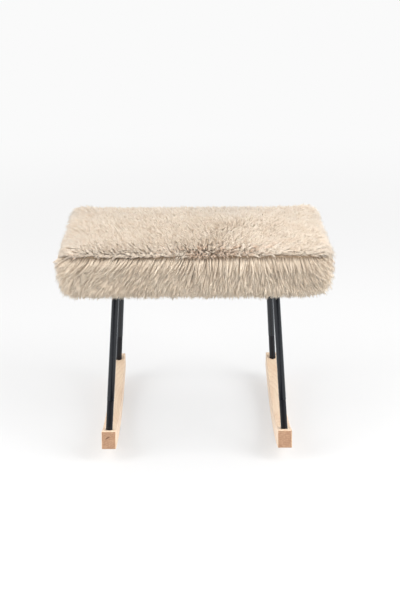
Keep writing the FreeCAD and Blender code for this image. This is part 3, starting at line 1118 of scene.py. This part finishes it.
def turned_to(headings: Array, goal: Array | Direction, share: Array) -> Array:
    """Turns rows of headings towards a goal.

    Args:
        headings: The headings, of length 1.
        goal: The heading they turn to, or one for each row.
        share: How much of the way each of them turns.

    Returns:
        The turned headings, of length 1.
    """
    part = share[:, None]
    return unit(headings * (1 - part) + np.array(goal) * part)


@dataclass(frozen=True)
class Patch:
    """A part of the seat seen from above. It fades in over each of its spans, in metres from the middle."""

    across: tuple[Span, ...]
    forward: tuple[Span, ...] = ()

    def share(self, points: Array) -> Array:
        """How much each place belongs to the patch.

        Args:
            points: The places.

        Returns:
            1 inside the patch, 0 outside it.
        """
        total = np.ones(len(points))
        for span in self.forward:
            total = total * step(-points[:, 1], *span)
        for span in self.across:
            total = total * step(points[:, 0], *span)
        return total


@dataclass
class FurPile:
    """The pile of one cover panel."""

    name: str
    count: int
    seed: int
    width: float
    tuft_gap: float
    lock_gap: float
    shape: StrandShape
    parts: tuple[str, ...]
    node: str
    slot: str
    lock_hold: float = 0.15
    tuft_hold: float = 0.7
    strays: float = 0.1
    stray_grip: float = 0.15
    least_grip: float = 0.75
    bend_hold: float = 0.4
    strand_freedom: float = 0.6
    mean_tone: float = 0.42
    least_tone: float = 0.03
    width_span: Span = (0.8, 1.2)

    def ripple(self, points: Array, wave: Wave) -> Array:
        """Reads one of the pile's own smooth random fields at some places."""
        height, wavelength, number = wave
        return height * Ripple(wavelength, self.seed + number).at(points)

    def wish(self, points: Array) -> Array:
        """How dense the pile is at some places, against 1 elsewhere."""
        return np.ones(len(points))

    def comb(self, points: Array, normals: Array, draw: np.random.Generator, loose: float) -> Strands:
        """Lays strands at some places.

        Args:
            points: The roots.
            normals: The surface's normals there.
            draw: The seeded source of chance.
            loose: How much each strand goes its own way.

        Returns:
            The strands.
        """
        raise NotImplementedError

    def order(self, roots: Array) -> Array:
        """The value by which the pile is divided into its pieces."""
        return roots[:, 0]

    def grow(self, panel: Surface) -> Strands:
        """Roots the pile in a panel, in locks of tufts of strands.

        Args:
            panel: The panel.

        Returns:
            The strands.
        """
        draw = np.random.default_rng(self.seed)
        edges = panel.corners[:, 1:] - panel.corners[:, :1]
        area = np.linalg.norm(np.cross(edges[:, 0], edges[:, 1]), axis=1).sum() / 2
        locks = self.comb(*panel.scatter(int(area / self.lock_gap**2), self.wish, draw), draw, 1.0)
        tufts = self.comb(*panel.scatter(int(area / self.tuft_gap**2), self.wish, draw), draw, 1.0)
        tufts = tufts.gathered(locks, self.lock_hold / 3, self.lock_hold)
        strands = self.comb(*panel.scatter(self.count, self.wish, draw), draw, self.strand_freedom)
        stray = draw.random(self.count) < self.strays
        grip = np.where(stray, self.stray_grip, draw.uniform(self.least_grip, 1.0, self.count))
        return strands.gathered(tufts, self.tuft_hold * self.bend_hold, self.tuft_hold, grip[:, None])

    def build(self, panel: Surface) -> list[bpy.types.Object]:
        """Makes the pile's pieces.

        Args:
            panel: The panel that the pile grows from.

        Returns:
            The pieces, from one side to the other.
        """
        strands = self.grow(panel)
        ordered = np.argsort(self.order(strands.root), kind="stable")
        groups = zip(self.parts, np.array_split(ordered, len(self.parts)))
        return [strands.mesh(f"{self.name}_{part}", self.shape, group) for part, group in groups]

    def dress(self, pieces: Sequence[bpy.types.Object], material: bpy.types.Material) -> None:
        """Gives the pieces their fur."""
        for piece in pieces:
            settle_piece(piece, material, [self.node])


@dataclass(frozen=True)
class TopZones:
    """How much each place of the top belongs to its zones, 0 to 1."""

    tan_crest: Array
    front_right: Array
    rim: Array
    end: Array
    low: Array
    over: Array


@dataclass
class TopPile(FurPile):
    """The short pile of the top, brushed outwards from one spot and rough along the front edge."""

    length: float = 0.0160
    length_span: Span = (0.75, 1.15)
    parting: Span = (0.095, 0.05)
    parting_fade: Span = (0.07, 0.01)
    seam: float = SEAM_HEIGHT
    seam_fade: float = 0.005
    right_side: Patch = Patch(across=((-0.02, 0.15),), forward=((-0.03, 0.06),))
    right_heading: Direction = (1.0, -0.15, 0.0)
    left_side: Patch = Patch(across=((0.10, -0.08),), forward=((-0.05, 0.05),))
    left_pull: Direction = (-0.4, 0.0, 0.0)
    front_right: Patch = Patch(across=((0.09, 0.16),), forward=((0.1, 0.15),))
    front_heading: Direction = (1.0, -0.12, 0.0)
    tan_crest: Patch = Patch(across=((-0.05, 0.02), (0.2, 0.15)), forward=((0.135, 0.165),))
    tan_share: float = 0.75
    tan_span: Span = (TAN_TONE, 0.95)
    # Painted light: strands along the front edge are made paler to lift the shadow under the splayed crest
    front_edge_painted_light: Patch = Patch(across=((0.17, 0.1),), forward=((0.125, 0.15),))
    painted_light_tone: float = 0.2
    rim_fade: Span = (0.225, 0.262)
    rim_pull: float = 0.8
    end_fade: Span = (0.235, 0.275)
    front_facing: float = -0.4
    end_facing: float = 0.3
    front_overhang: Patch = Patch(across=((-0.225, -0.19), (0.05, -0.02)))
    other_overhang: float = 0.6
    end_overhang: float = 0.8
    broad_turn: Wave = (0.2, 0.11, 1)
    fine_turn: Wave = (0.15, 0.03, 2)
    turn_spread: float = 0.42
    crest_turn: float = 0.8
    crest_longer: float = 0.1
    low_shorter: float = 0.3
    over_longer: float = 0.8
    end_longer: float = 0.35
    rim_longer: float = 0.55
    front_longer: float = 0.5
    upright: float = 0.76
    upright_spread: float = 0.14
    upright_span: Span = (0.2, 0.95)
    broad_rise: Wave = (0.03, 0.05, 3)
    fine_rise: Wave = (0.09, 0.007, 5)
    parting_rise: float = 0.2
    low_flatter: float = 0.3
    over_flatter: float = 0.25
    front_flatter: float = 0.35
    rim_flatter: float = 0.3
    bend_along: float = 0.22
    bend_out: float = 0.42
    tone_spread: float = 0.28
    broad_tone: Wave = (0.03, 0.06, 4)
    curl_tone: Wave = (0.28, 0.0042, 6)
    most_tone: float = 0.96

    def _zones(self, points: Array, normals: Array) -> TopZones:
        """Finds the zones of the top.

        Args:
            points: The roots.
            normals: The surface's normals there.

        Returns:
            Each root's share in each zone.
        """
        low = step(points[:, 2], self.seam + self.seam_fade, self.seam)
        end = step(np.abs(points[:, 0]), *self.end_fade)
        facing = normals[:, 1] < self.front_facing
        over = np.where(facing, self.front_overhang.share(points), self.other_overhang)
        sideways = np.abs(normals[:, 0]) > self.end_facing
        over = np.maximum(over, self.end_overhang * end * sideways) * low
        rim = step(np.abs(points[:, 0]), *self.rim_fade)
        return TopZones(self.tan_crest.share(points), self.front_right.share(points), rim, end, low, over)

    def _brushed(self, points: Array, normals: Array, zones: TopZones, wander: Array) -> Array:
        """Finds the way that the pile is brushed.

        Args:
            points: The roots.
            normals: The surface's normals there.
            zones: The zones of the top.
            wander: How far each strand turns aside by chance, in radians.

        Returns:
            Headings along the surface.
        """
        level = np.zeros(len(points))
        brushed = np.column_stack([unit(points[:, :2] - np.array(self.parting)), level])
        brushed = turned_to(brushed, self.right_heading, self.right_side.share(points))
        brushed = unit(brushed + np.array(self.left_pull) * self.left_side.share(points)[:, None])
        brushed = turned_to(brushed, self.front_heading, zones.front_right)
        outward = np.column_stack([np.sign(points[:, 0]), level, level])
        brushed = turned_to(brushed, outward, self.rim_pull * zones.rim)
        turn = self.ripple(points, self.broad_turn) + self.ripple(points, self.fine_turn)
        turn += wander * (1 + self.crest_turn * zones.tan_crest)
        side = np.cross(normals, brushed)
        brushed = brushed * np.cos(turn)[:, None] + side * np.sin(turn)[:, None]
        return unit(brushed - normals * (brushed * normals).sum(axis=1, keepdims=True))

    def _rise(self, points: Array, zones: TopZones, chance: Array) -> Array:
        """Finds how upright the pile stands.

        Args:
            points: The roots.
            zones: The zones of the top.
            chance: What each strand differs by.

        Returns:
            The share of a strand's length that goes up, 1 for a strand on end.
        """
        away = np.linalg.norm(points[:, :2] - np.array(self.parting), axis=1)
        rise = self.upright + self.parting_rise * step(away, *self.parting_fade)
        rise = rise + self.ripple(points, self.broad_rise) + chance
        rise = np.clip(rise + self.ripple(points, self.fine_rise), *self.upright_span)
        rise *= 1 - self.low_flatter * zones.low
        rise *= 1 - self.over_flatter * zones.over
        rise *= 1 - self.front_flatter * zones.front_right
        return rise * (1 - self.rim_flatter * zones.rim)

    def _reach(self, zones: TopZones, chance: Array) -> Array:
        """Finds how long the strands are.

        Args:
            zones: The zones of the top.
            chance: What each strand's length is multiplied by.

        Returns:
            The lengths.
        """
        length = self.length * chance * (1 + self.crest_longer * zones.tan_crest)
        length *= 1 - self.low_shorter * zones.low
        longer = 1 + self.over_longer * zones.over + self.end_longer * zones.end
        return length * (longer + self.rim_longer * zones.rim + self.front_longer * zones.front_right)

    def comb(self, points: Array, normals: Array, draw: np.random.Generator, loose: float) -> Strands:
        """Lays the short strands.

        Args:
            points: The roots.
            normals: The surface's normals there.
            draw: The seeded source of chance.
            loose: How much each strand goes its own way.

        Returns:
            The strands.
        """
        count = len(points)
        zones = self._zones(points, normals)
        along = self._brushed(points, normals, zones, draw.normal(0.0, self.turn_spread * loose, count))
        length = self._reach(zones, draw.uniform(*self.length_span, count))[:, None]
        rise = self._rise(points, zones, draw.normal(0.0, self.upright_spread, count))
        lay = np.sqrt(1 - rise**2)
        root = points - normals * ROOT_DEPTH
        bend = root + length * (self.bend_along * along + self.bend_out * normals)
        tip = root + length * (lay[:, None] * along + rise[:, None] * normals)
        tone = self.mean_tone + self.ripple(points, self.broad_tone)
        tone = tone + draw.normal(0.0, self.tone_spread * loose, count)
        # Paler strands along the front edge: painted light that lifts the shadow under the crest
        pale = self.painted_light_tone * self.front_edge_painted_light.share(points)
        tone += self.ripple(points, self.curl_tone) + pale
        tanned = draw.random(count) < self.tan_share * zones.tan_crest
        tone = np.where(tanned, draw.uniform(*self.tan_span, count), tone)
        width = self.width * draw.uniform(*self.width_span, count)
        return Strands(root, bend, tip, width, np.clip(tone, self.least_tone, self.most_tone))


@dataclass
class BandPile(FurPile):
    """The long pile of the sides, which falls from the seam and leans along the sides."""

    longest: float = 0.047
    shortest: float = 0.010
    length_span: Span = (0.72, 1.15)
    seam: float = SEAM_HEIGHT
    lip_fade: Span = (0.010, 0.002)
    foot: float = 0.3808
    seam_gap: float = 0.001
    thick_foot: Span = (0.402, 0.386)
    thicker: float = 0.8
    fringe: float = 0.3670
    fringe_spread: float = 0.0032
    fringe_wave: Wave = (0.002, 0.02, 3)
    right_fringe: float = 0.011
    right_fringe_fade: Span = (0.23, 0.285)
    left_fringe: float = 0.004
    left_fringe_fade: Span = (0.24, 0.29)
    half_size: Span = (0.283, 0.178)
    upper_lean: Span = (0.385, 0.435)
    foot_lean: float = 0.4
    broad_lean: Wave = (6.0, 0.07, 1)
    fine_lean: Wave = (4.0, 0.022, 2)
    lean_spread: float = 7.0
    least_fall: float = 0.3
    upper_lift: Span = (0.384, 0.44)
    foot_lift: float = 0.13
    more_lift: float = 0.20
    lift_wave: Wave = (0.08, 0.035, 4)
    lift_spread: float = 0.05
    lift_span: Span = (0.03, 0.45)
    swept_from: Span = (-0.5, -0.9)
    swept_to: Span = (-2.2, -1.6)
    swept_lift: float = 0.4
    straightness: float = 0.92
    bend_along: float = 0.36
    lip_along: float = 0.16
    bend_out: float = 1.15
    tip_out: float = 0.9
    tone_spread: float = 0.36
    broad_tone: Wave = (0.03, 0.05, 5)
    curl_tone: Wave = (0.22, 0.005, 6)
    most_tone: float = TAN_TONE - 0.06
    leans: tuple[tuple[float, float], ...] = (
        (-180.0, 0.0),
        (-135.0, -8.0),
        (-90.0, -22.0),
        (-60.0, -30.0),
        (-45.0, -38.0),
        (-35.0, -45.0),
        (-19.0, -36.0),
        (0.0, -20.0),
        (16.0, -5.0),
        (28.0, 6.0),
        (38.0, 22.0),
        (45.0, 42.0),
        (60.0, 38.0),
        (90.0, 25.0),
        (135.0, 8.0),
        (180.0, 0.0),
    )

    def wish(self, points: Array) -> Array:
        """Keeps the pile out of the seam and off the hem, and thickens it along the bottom edge.

        Args:
            points: The places.

        Returns:
            How dense the pile is there, against 1 elsewhere.
        """
        level = points[:, 2]
        on_side = (level > self.foot + self.seam_gap) & (level < self.seam - self.seam_gap)
        return on_side * (1.0 + self.thicker * step(level, *self.thick_foot))

    def order(self, roots: Array) -> Array:
        """The way round the seat, from the middle of the rear side."""
        return np.arctan2(roots[:, 0] / self.half_size[0], -roots[:, 1] / self.half_size[1])

    def _lean(self, points: Array, chance: Array) -> Array:
        """Finds how far the pile leans along the sides.

        Args:
            points: The roots.
            chance: What each strand differs by, in degrees.

        Returns:
            The angles from straight down, in radians.
        """
        place, lean = zip(*self.leans)
        angle = np.interp(np.degrees(self.order(points)), place, lean)
        angle *= self.foot_lean + (1.0 - self.foot_lean) * step(points[:, 2], *self.upper_lean)
        angle += self.ripple(points, self.broad_lean) + self.ripple(points, self.fine_lean)
        return np.radians(angle + chance)

    def _reach(self, points: Array, angle: Array, draw: np.random.Generator) -> Array:
        """Finds how long the strands are, so that the fringe ends where it should.

        Args:
            points: The roots.
            angle: The angles from straight down.
            draw: The seeded source of chance.

        Returns:
            The lengths.
        """
        count = len(points)
        length = self.longest * draw.uniform(*self.length_span, count)
        bottom = self.fringe + self.ripple(points, self.fringe_wave)
        bottom += draw.normal(0.0, self.fringe_spread, count)
        right = self.right_fringe * step(points[:, 0], *self.right_fringe_fade)
        bottom += right + self.left_fringe * step(-points[:, 0], *self.left_fringe_fade)
        fall = np.maximum(np.cos(angle) * self.straightness, self.least_fall)
        room = (points[:, 2] - bottom) / fall
        return np.clip(np.minimum(length, room), self.shortest, None)

    def _lift(self, points: Array, chance: Array) -> Array:
        """Finds how far the strands stand off the side.

        Args:
            points: The roots.
            chance: What each strand differs by.

        Returns:
            The distance for a strand of length 1.
        """
        level = step(points[:, 2], *self.upper_lift)
        lift = (self.foot_lift + self.more_lift * level) * (1 + self.ripple(points, self.lift_wave))
        way_round = self.order(points)
        swept = step(way_round, *self.swept_from) * step(way_round, *self.swept_to)
        return np.clip(lift * (1 + self.swept_lift * swept) + chance, *self.lift_span)

    def comb(self, points: Array, normals: Array, draw: np.random.Generator, loose: float) -> Strands:
        """Lays the long strands.

        Args:
            points: The roots.
            normals: The surface's normals there.
            draw: The seeded source of chance.
            loose: How much each strand goes its own way.

        Returns:
            The strands.
        """
        count = len(points)
        out = unit(normals * np.array([1.0, 1.0, 0.0]))
        tangent = np.column_stack([-out[:, 1], out[:, 0], np.zeros(count)])
        angle = self._lean(points, draw.normal(0.0, self.lean_spread * loose, count))
        fall = np.column_stack([np.zeros(count), np.zeros(count), -np.ones(count)])
        along = tangent * np.sin(angle)[:, None] + fall * np.cos(angle)[:, None]
        length = self._reach(points, angle, draw)[:, None]
        lift = self._lift(points, draw.normal(0.0, self.lift_spread * loose, count))
        lip = step(points[:, 2], self.seam - self.lip_fade[0], self.seam - self.lip_fade[1])
        root = points - normals * ROOT_DEPTH
        forward = (self.bend_along - self.lip_along * lip)[:, None] * along
        bend = root + length * (forward + (lift * (self.bend_out + lip))[:, None] * out)
        tip = root + length * (self.straightness * along + (lift * self.tip_out)[:, None] * out)
        tone = self.mean_tone + self.ripple(points, self.broad_tone)
        tone = tone + draw.normal(0.0, self.tone_spread * loose, count)
        tone += self.ripple(points, self.curl_tone)
        width = self.width * draw.uniform(*self.width_span, count)
        return Strands(root, bend, tip, width, np.clip(tone, self.least_tone, self.most_tone))


@dataclass
class DustCover:
    """Black cloth stapled over the underside of the board, with a little sag between the rails."""

    length: float = 0.552
    width: float = 0.342
    top: float = 0.3806
    thickness: float = 0.0005
    cells: int = 84
    sag: float = 0.0022
    sag_change: float = 0.35
    edge_fade: Span = (0.006, 0.05)
    rail: float = 0.176
    rail_fade: Span = (0.017, 0.05)
    pull: Ripple = Ripple(wavelength=0.05, seed=31)
    crease: Ripple = Ripple(wavelength=0.018, seed=32)
    crease_height: float = 0.0003

    def build(self) -> bpy.types.Object:
        """Makes the cloth.

        Returns:
            The sheet.
        """
        form = bmesh.new()
        bmesh.ops.create_grid(form, x_segments=self.cells, y_segments=self.cells * 5 // 8, size=0.5)
        bmesh.ops.scale(form, vec=(self.length, self.width, 1.0), verts=form.verts)
        bmesh.ops.translate(form, vec=(0.0, 0.0, self.top), verts=form.verts)
        places = np.array([v.co for v in form.verts])
        edge_x = step(self.length / 2 - np.abs(places[:, 0]), *self.edge_fade)
        edge_y = step(self.width / 2 - np.abs(places[:, 1]), *self.edge_fade)
        clear = step(np.abs(np.abs(places[:, 0]) - self.rail), *self.rail_fade)
        drop = self.sag * edge_x * edge_y * clear * (1.0 + self.sag_change * self.pull.at(places))
        pucker = self.crease_height * self.crease.at(places) * (1 - edge_x * edge_y) * clear
        for vert, fall in zip(form.verts, drop + np.abs(pucker)):
            vert.co.z -= fall
        bmesh.ops.solidify(form, geom=form.faces, thickness=self.thickness)
        bmesh.ops.recalc_face_normals(form, faces=form.faces)
        return finished(form, "underside_cloth")


class UnderFrame:
    """The CAD parts that stay as they are and get their finishes here."""

    def dress(self, finishes: Mapping[str, bpy.types.Material]) -> None:
        """Puts each finish into the material slots of the CAD parts that have it.

        Args:
            finishes: The materials by the record's slot name.
        """
        for name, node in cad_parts.items():
            for place in node.material_slots:
                kind = place.material.name.split(".")[0]
                if kind in finishes:
                    place.material = finishes[kind]
            if not node.hide_render:
                log.info("%s keeps its CAD shape", name)


@dataclass(frozen=True)
class Softbox:
    """One soft studio lamp."""

    name: str
    place: tuple[float, float, float]
    width: float
    height: float
    power: float
    target: tuple[float, float, float] = (0.0, 0.0, 0.3)

    def build(self) -> bpy.types.Object:
        """Makes the lamp.

        Returns:
            The lamp, turned to its target.
        """
        data = bpy.data.lights.new(self.name, "AREA")
        data.shape = "RECTANGLE"
        data.size = self.width
        data.size_y = self.height
        data.energy = self.power
        lamp = bpy.data.objects.new(self.name, data)
        lamp.location = self.place
        heading = Vector(self.target) - Vector(self.place)
        lamp.rotation_euler = heading.to_track_quat("-Z", "Y").to_euler()
        bpy.context.scene.collection.objects.link(lamp)
        return lamp


@dataclass
class Studio:
    """Pale floor, soft light and the camera at the photograph's angle."""

    reach: float = 40.0
    floor_tint: Colour = screen(232, 232, 232)
    speck_tint: Colour = screen(236, 236, 238)
    far_tint: Colour = screen(250, 250, 250)
    sky_tint: Colour = (1.0, 1.0, 1.0, 1.0)
    dim_mirror: Colour = screen(36, 42, 56)
    bright_mirror: Colour = screen(245, 250, 255)
    floor_mirror: float = 1.15
    wall_mirror: float = 1.25
    dim_wall: Span = (-0.6, -0.76)
    aisle_front: Span = (-0.15, -0.45)
    aisle_side: Span = (0.3, 0.62)
    haze: Span = (0.6, 3.2)
    least_haze: float = 0.52
    sky: float = 0.62
    lamps: tuple[Softbox, ...] = (
        Softbox("softbox_left", place=(-2.3, -1.1, 1.9), width=1.8, height=2.0, power=52.0),
        Softbox("softbox_right", place=(2.3, -1.1, 1.9), width=1.8, height=2.0, power=70.0),
        Softbox("softbox_top", place=(0.0, 0.1, 3.2), width=2.8, height=2.4, power=18.0),
    )
    eye: tuple[float, float, float] = (-0.01015, -2.830, 1.302)
    lens: float = 77.16
    sensor: float = 36.0
    farthest: float = 100.0
    pitch: float = 19.53
    heading: float = 0.41
    roll: float = -0.26

    def _floor(self) -> None:
        """Lays the floor."""
        form = bmesh.new()
        bmesh.ops.create_grid(form, x_segments=1, y_segments=1, size=self.reach)
        floor = finished(form, "floor", smooth=False)
        desk = ShaderDesk("studio_floor")
        speck = desk.noise(desk.place(), 3.0, 2.0)
        tint = desk.mix(speck * 0.06, self.floor_tint, self.speck_tint)
        paper = desk.node("ShaderNodeBsdfDiffuse", inputs={"Color": tint})
        spot = desk.place()
        away = desk.node("ShaderNodeVectorMath", {"operation": "LENGTH"}, {0: spot}, output="Value")
        seen = desk.node("ShaderNodeLightPath", output="Is Camera Ray")
        hazy = (away.rise(*self.haze) * (1.0 - self.least_haze) + self.least_haze) * seen
        shown = desk.blend(hazy, paper, desk.glow("Emission", self.far_tint, 1.0))
        aisle = spot.part("Y").rise(*self.aisle_front) * (1.0 - abs(spot.part("X")).rise(*self.aisle_side))
        mirrored = desk.mix(aisle, self.bright_mirror, self.dim_mirror)
        glossy = desk.node("ShaderNodeLightPath", output="Is Glossy Ray")
        mirror = desk.glow("Emission", mirrored, self.floor_mirror)
        floor.data.materials.append(desk.finish(desk.blend(glossy, shown, mirror)))

    def _world(self) -> None:
        """Lights the room evenly, and shows the camera and the reflections a pale wall."""
        desk = ShaderDesk("studio", world=True)
        camera = desk.node("ShaderNodeLightPath", output="Is Camera Ray")
        through = desk.node("ShaderNodeLightPath", output="Is Transmission Ray")
        glossy = desk.node("ShaderNodeLightPath", output="Is Glossy Ray")
        light = desk.glow("Background", self.sky_tint, self.sky)
        wall = desk.glow("Background", self.far_tint, 1.0)
        room = desk.blend(desk.combine("MAXIMUM", camera, through), light, wall)
        dim = desk.glow("Background", self.dim_mirror, 1.0)
        bright = desk.glow("Background", self.bright_mirror, self.wall_mirror)
        front = desk.node("ShaderNodeTexCoord", output="Generated").part("Y").rise(*self.dim_wall)
        mirror = desk.blend(front, bright, dim)
        bpy.context.scene.world = desk.finish(desk.blend(glossy, room, mirror))

    def _camera(self) -> None:
        """Sets up the camera from its place, pitch, heading and roll."""
        pitch, heading, roll = (math.radians(angle) for angle in (self.pitch, self.heading, self.roll))
        forward = math.cos(pitch)
        ahead = Vector((forward * math.sin(heading), forward * math.cos(heading), -math.sin(pitch)))
        level = Vector((math.cos(heading), -math.sin(heading), 0.0))
        top = level.cross(ahead)
        right = level * math.cos(roll) + top * math.sin(roll)
        up = top * math.cos(roll) - level * math.sin(roll)
        data = bpy.data.cameras.new("camera")
        data.lens = self.lens
        data.sensor_width = self.sensor
        data.clip_end = self.farthest
        camera = bpy.data.objects.new("camera", data)
        turn = Matrix((right, up, -ahead)).transposed()
        camera.matrix_world = Matrix.Translation(self.eye) @ turn.to_4x4()
        bpy.context.scene.collection.objects.link(camera)
        bpy.context.scene.camera = camera

    def build(self) -> None:
        """Sets up the room, the lamps and the camera."""
        self._floor()
        self._world()
        for lamp in self.lamps:
            lamp.build()
        self._camera()
        bpy.context.scene.view_settings.view_transform = "Standard"


SHORT_STRAND = StrandShape(rings=((0.55, 0.72),))
LONG_STRAND = StrandShape(rings=((0.36, 0.92), (0.72, 0.62)))


def finishes() -> dict[str, bpy.types.Material]:
    """Makes every finish of the object.

    Returns:
        The materials by the record's slot name.
    """
    gloss = PowderCoat(
        "black_gloss",
        body=screen(13, 14, 19),
        worn=screen(20, 21, 26),
        roughness=0.12,
        specular=0.48,
        dimple=0.00001,
    )
    satin = PowderCoat(
        "black_satin",
        body=screen(22, 22, 26),
        worn=screen(30, 30, 34),
        roughness=0.46,
        specular=0.25,
        dimple=0.00004,
    )
    staple_wire = ZincSteel(
        "staple_wire", bright=screen(178, 180, 182), dull=screen(140, 142, 144), roughness=0.4
    )
    # Both furs' root colours are painted shade for the shadow deep in the pile
    short = FurFibre(
        "fur_short",
        root=screen(188, 160, 128),
        middle=screen(248, 235, 218),
        tip=screen(253, 243, 229),
        shade=screen(216, 190, 162),
        tan=screen(222, 184, 153),
    )
    long = FurFibre(
        "fur_long",
        # Painted shade: this darker root also paints the shadow in the crease under the seam
        root=screen(158, 132, 104),
        middle=screen(248, 233, 213),
        tip=screen(255, 241, 216),
        shade=screen(190, 166, 140),
        tan=screen(222, 188, 160),
    )
    makers = {
        "beech": Beech(),
        "black_gloss": gloss,
        "black_satin": satin,
        "zinc_steel": ZincSteel(),
        "staple_wire": staple_wire,
        "plywood": Plywood(),
        "wadding": Wadding(),
        "black_cloth": FeltedCloth(),
        "fur_short": short,
        "fur_long": long,
    }
    return {slot: maker.make() for slot, maker in makers.items()}


def main() -> None:
    """Builds the seat, the fur, the cloth under the board and the studio."""
    made = finishes()
    seat = SeatForm()
    seat.stuff()
    padding = seat.padding()
    settle_piece(padding, made["wadding"], ["seat_foam", "wadding_wrap"])

    top_skin = seat.top_panel()
    top_surface = Surface.of(top_skin)
    top_backing = seat.sewn(top_skin, "cover_top_backing")
    # The backing's second colour is the painted shade in the gaps between stitches
    backing = Backing("fur_backing", screen(206, 184, 158), screen(150, 126, 100)).make()
    settle_piece(top_backing, backing, ["cover_top_panel"])
    band_skin = seat.band()
    band_surface = Surface.of(band_skin)
    band_backing = seat.sewn(band_skin, "cover_band_backing")
    settle_piece(band_backing, backing, ["cover_side_band"])

    top_pile = TopPile(
        name="top_pile",
        count=94000,
        seed=11,
        width=0.00058,
        tuft_gap=0.0037,
        lock_gap=0.014,
        lock_hold=0.05,
        tuft_hold=0.86,
        shape=SHORT_STRAND,
        parts=("left", "middle_left", "middle", "middle_right", "right"),
        node="cover_top_panel",
        slot="fur_short",
    )
    top_pile.dress(top_pile.build(top_surface), made["fur_short"])
    band_pile = BandPile(
        name="band_pile",
        count=52000,
        seed=23,
        width=0.0005,
        tuft_gap=0.0042,
        lock_gap=0.018,
        lock_hold=0.06,
        tuft_hold=0.9,
        shape=LONG_STRAND,
        parts=("rear_left", "left", "front_left", "front_right", "right", "rear_right"),
        node="cover_side_band",
        slot="fur_long",
    )
    band_pile.dress(band_pile.build(band_surface), made["fur_long"])

    dust_cover = DustCover()
    cloth = dust_cover.build()
    settle_piece(cloth, made["black_cloth"], ["dust_cover"])

    UnderFrame().dress(made)
    Studio().build()


if __name__ == "__main__":
    main()
